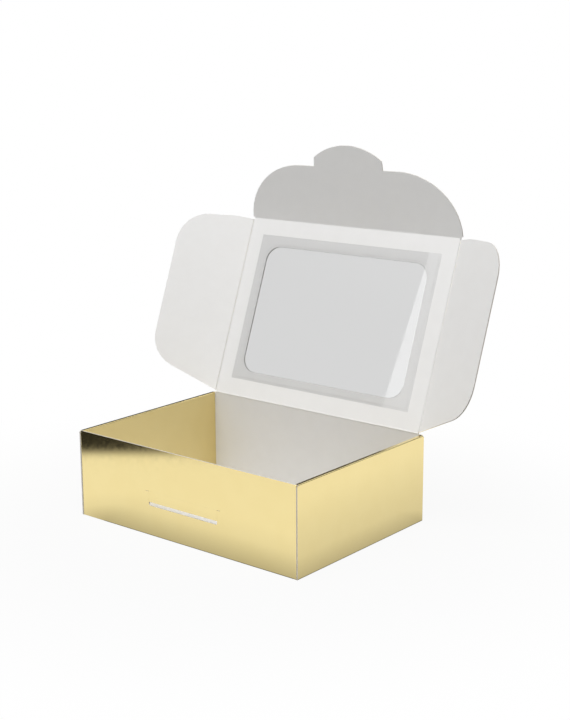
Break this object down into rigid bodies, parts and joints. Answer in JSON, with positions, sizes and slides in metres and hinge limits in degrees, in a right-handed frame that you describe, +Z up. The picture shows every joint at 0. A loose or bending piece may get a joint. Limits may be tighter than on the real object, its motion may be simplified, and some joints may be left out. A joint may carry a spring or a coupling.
{
  "type": "wine gift box",
  "caption": "Folding gift carton in gold foil board with a hinged window lid, tuck-in side flaps and a front closing flap whose tongue meets a slot in the front wall.",
  "frame": {"origin": "centre of the box's footprint, on the surface that it stands on", "axes": "+X to the right along the front wall, +Y from the front wall to the back wall that carries the lid, +Z up"},
  "size_m": [0.5192, 0.3354, 0.4516],
  "materials": {
    "gold_board": "gloss",
    "white_board": "satin",
    "clear_film": "gloss",
    "dry_glue": "satin"
  },
  "bodies": {
    "box": {"bottom_panel": "gold_board", "front_wall": "gold_board", "back_wall": "gold_board", "left_wall_outer": "gold_board", "left_wall_top": "gold_board", "left_wall_inner": "gold_board", "right_wall_outer": "gold_board", "right_wall_top": "gold_board", "right_wall_inner": "gold_board", "front_left_corner_flap": "gold_board", "front_right_corner_flap": "gold_board", "back_left_corner_flap": "gold_board", "back_right_corner_flap": "gold_board", "lid_crease": "white_board"},
    "lock_tab": {"front_lock_tab": "gold_board"},
    "lid": {"lid_panel": "gold_board", "window_film": "clear_film", "window_glue": "dry_glue", "closing_flap_crease": "white_board"},
    "left_crease": {"left_flap_crease": "white_board"},
    "left_flap": {"left_lid_flap": "gold_board"},
    "right_crease": {"right_flap_crease": "white_board"},
    "right_flap": {"right_lid_flap": "gold_board"},
    "closing_flap": {"closing_flap": "gold_board"}
  },
  "joints": [
    {"name": "lid_hinge", "type": "hinge", "parent": "box", "child": "lid", "pos_m": [0, 0.1232, 0.1121], "axis": [1, 0, 0], "range_deg": [-69.5, 110.5]},
    {"name": "left_crease_turn", "type": "hinge", "parent": "lid", "child": "left_crease", "pos_m": [-0.1685, 0.1232, 0.1121], "axis": [0, 0.3502, 0.9367], "range_deg": [-28.5, 18]},
    {"name": "left_flap_fold", "type": "hinge", "parent": "left_crease", "child": "left_flap", "pos_m": [-0.1685, 0.1232, 0.1121], "axis": [0, 0.3502, 0.9367], "range_deg": [-28.5, 90]},
    {"name": "right_crease_turn", "type": "hinge", "parent": "lid", "child": "right_crease", "pos_m": [0.1685, 0.1232, 0.1121], "axis": [0, -0.3502, -0.9367], "range_deg": [-28.5, 18]},
    {"name": "right_flap_fold", "type": "hinge", "parent": "right_crease", "child": "right_flap", "pos_m": [0.1685, 0.1232, 0.1121], "axis": [0, -0.3502, -0.9367], "range_deg": [-28.5, 90]},
    {"name": "closing_flap_fold", "type": "hinge", "parent": "lid", "child": "closing_flap", "pos_m": [0, 0.21016, 0.34468], "axis": [1, 0, 0], "range_deg": [-28.5, 61.5]},
    {"name": "lock_tab_flex", "type": "hinge", "parent": "box", "child": "lock_tab", "pos_m": [0, -0.1232, 0.056], "axis": [1, 0, 0], "range_deg": [0, 30], "stiffness_Nm_per_rad": 0.01}
  ],
  "couplings": [
    {"joint": "left_crease_turn", "follows": "lid_hinge", "ratio": -0.2579},
    {"joint": "right_crease_turn", "follows": "lid_hinge", "ratio": -0.2579}
  ]
}
